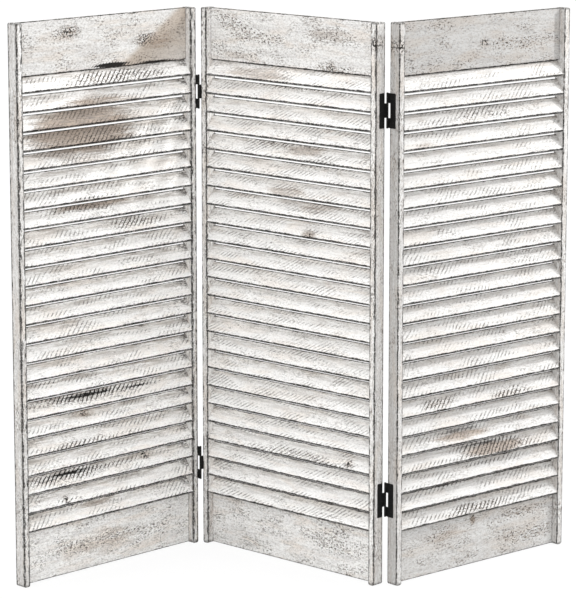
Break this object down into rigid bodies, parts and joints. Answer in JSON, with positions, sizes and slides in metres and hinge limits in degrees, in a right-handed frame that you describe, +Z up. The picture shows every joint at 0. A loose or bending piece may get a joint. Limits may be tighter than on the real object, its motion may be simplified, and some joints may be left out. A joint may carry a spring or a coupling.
{
  "type": "tabletop folding screen",
  "caption": "Free-standing zigzag folding screen of hinged louvred wooden panels, with slanted slats between slim stiles, plain top and bottom rails and small black butt hinges",
  "frame": {"origin": "centre of the standing screen's footprint, on the surface it stands on", "axes": "+Z up, +X to the viewer's right, front of the screen to -Y, as the picture's camera sees it"},
  "size_m": [0.8852, 0.296, 0.9],
  "materials": {
    "left_stile_wood": "worn whitewash over sawn softwood, dark rubbed arrises",
    "left_rail_wood": "worn whitewash over sawn softwood, dark rubbed arrises",
    "left_louvre_wood": "worn whitewash over sawn softwood, dark rubbed arrises",
    "middle_stile_wood": "worn whitewash over sawn softwood, dark rubbed arrises",
    "middle_rail_wood": "worn whitewash over sawn softwood, dark rubbed arrises",
    "middle_louvre_wood": "worn whitewash over sawn softwood, dark rubbed arrises",
    "right_stile_wood": "worn whitewash over sawn softwood, dark rubbed arrises",
    "right_rail_wood": "worn whitewash over sawn softwood, dark rubbed arrises",
    "right_louvre_wood": "worn whitewash over sawn softwood, dark rubbed arrises",
    "hinge_metal": "matte black",
    "pin_metal": "matte black",
    "screw_metal": "matte black"
  },
  "bodies": {
    "middle_panel": {"middle_panel_left_stile": "middle_stile_wood", "middle_panel_right_stile": "middle_stile_wood", "middle_panel_top_rail": "middle_rail_wood", "middle_panel_bottom_rail": "middle_rail_wood", "middle_panel_louvres_1": "middle_louvre_wood", "middle_panel_louvres_2": "middle_louvre_wood", "middle_panel_louvres_3": "middle_louvre_wood", "middle_panel_louvres_4": "middle_louvre_wood", "middle_panel_louvres_5": "middle_louvre_wood", "middle_panel_louvres_6": "middle_louvre_wood", "left_upper_hinge_middle_leaf": "hinge_metal", "left_upper_hinge_middle_screws": "screw_metal", "left_lower_hinge_middle_leaf": "hinge_metal", "left_lower_hinge_middle_screws": "screw_metal", "right_upper_hinge_middle_leaf": "hinge_metal", "right_upper_hinge_middle_screws": "screw_metal", "right_lower_hinge_middle_leaf": "hinge_metal", "right_lower_hinge_middle_screws": "screw_metal"},
    "left_panel": {"left_panel_left_stile": "left_stile_wood", "left_panel_right_stile": "left_stile_wood", "left_panel_top_rail": "left_rail_wood", "left_panel_bottom_rail": "left_rail_wood", "left_panel_louvres_1": "left_louvre_wood", "left_panel_louvres_2": "left_louvre_wood", "left_panel_louvres_3": "left_louvre_wood", "left_panel_louvres_4": "left_louvre_wood", "left_panel_louvres_5": "left_louvre_wood", "left_panel_louvres_6": "left_louvre_wood", "left_upper_hinge_side_leaf": "hinge_metal", "left_upper_hinge_pin": "pin_metal", "left_upper_hinge_side_screws": "screw_metal", "left_lower_hinge_side_leaf": "hinge_metal", "left_lower_hinge_pin": "pin_metal", "left_lower_hinge_side_screws": "screw_metal"},
    "right_panel": {"right_panel_left_stile": "right_stile_wood", "right_panel_right_stile": "right_stile_wood", "right_panel_top_rail": "right_rail_wood", "right_panel_bottom_rail": "right_rail_wood", "right_panel_louvres_1": "right_louvre_wood", "right_panel_louvres_2": "right_louvre_wood", "right_panel_louvres_3": "right_louvre_wood", "right_panel_louvres_4": "right_louvre_wood", "right_panel_louvres_5": "right_louvre_wood", "right_panel_louvres_6": "right_louvre_wood", "right_upper_hinge_side_leaf": "hinge_metal", "right_upper_hinge_pin": "pin_metal", "right_upper_hinge_side_screws": "screw_metal", "right_lower_hinge_side_leaf": "hinge_metal", "right_lower_hinge_pin": "pin_metal", "right_lower_hinge_side_screws": "screw_metal"}
  },
  "joints": [
    {"name": "left_panel_fold", "type": "hinge", "parent": "middle_panel", "child": "left_panel", "pos_m": [-0.16199, 0.12597, 0.45], "axis": [0, 0, 1], "range_deg": [-88, 92]},
    {"name": "right_panel_fold", "type": "hinge", "parent": "middle_panel", "child": "right_panel", "pos_m": [0.14454, -0.10677, 0.45], "axis": [0, 0, 1], "range_deg": [-84, 96]}
  ]
}
